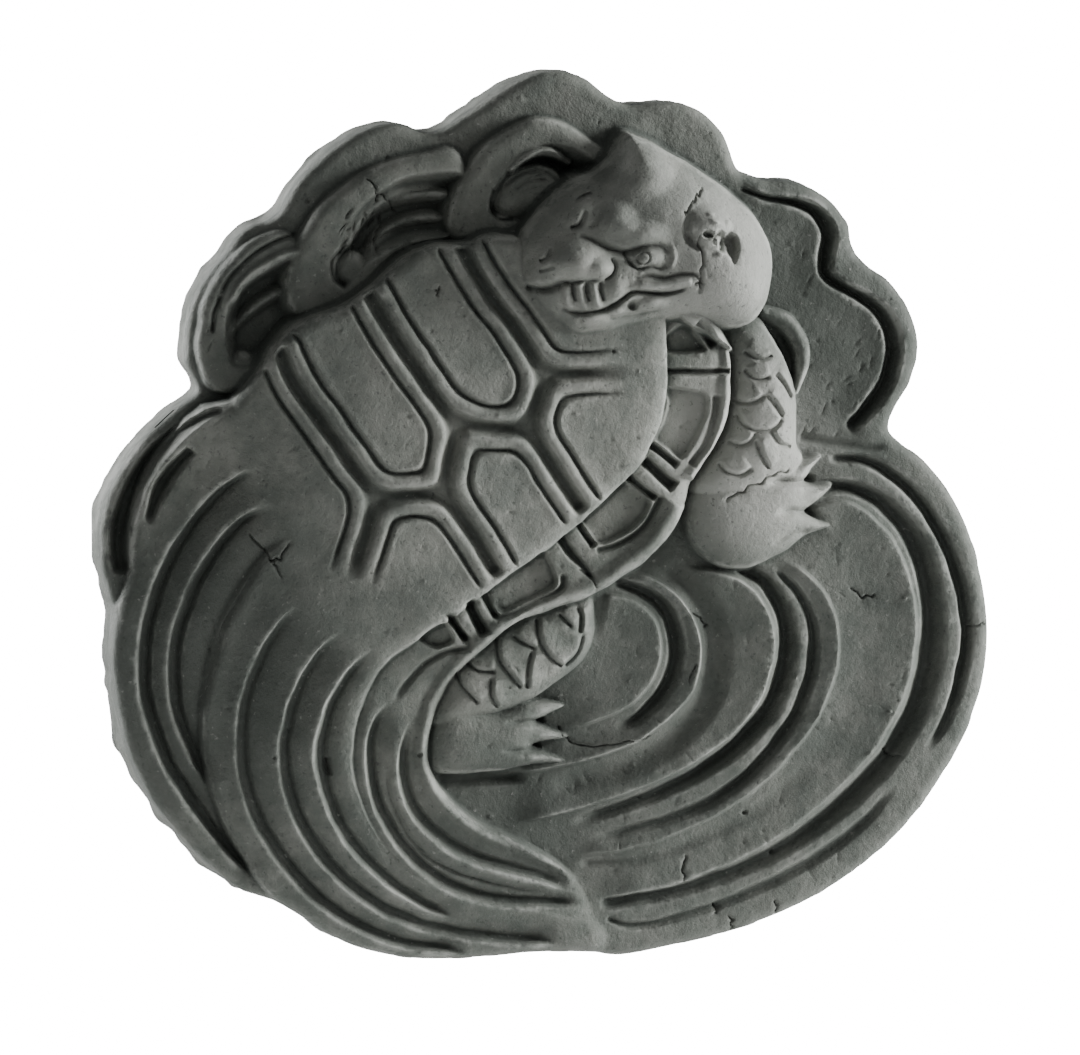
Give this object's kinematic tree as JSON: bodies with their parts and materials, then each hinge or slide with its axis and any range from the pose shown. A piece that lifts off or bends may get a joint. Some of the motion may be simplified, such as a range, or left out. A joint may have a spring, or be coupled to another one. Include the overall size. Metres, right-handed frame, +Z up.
{
  "type": "roof end tile",
  "caption": "Roof end tile in grey clay: a long-tailed tortoise with a horned head, in relief on curling waves, flat at the back.",
  "frame": {"origin": "on the flat back, level with the middle of the relief", "axes": "+Y out of the back, the relief faces -Y, +Z up"},
  "size_m": [0.2323, 0.0505, 0.2294],
  "materials": {
    "clay": "matte fired grey clay"
  },
  "bodies": {
    "root": {"tile": "clay"}
  },
  "joints": []
}
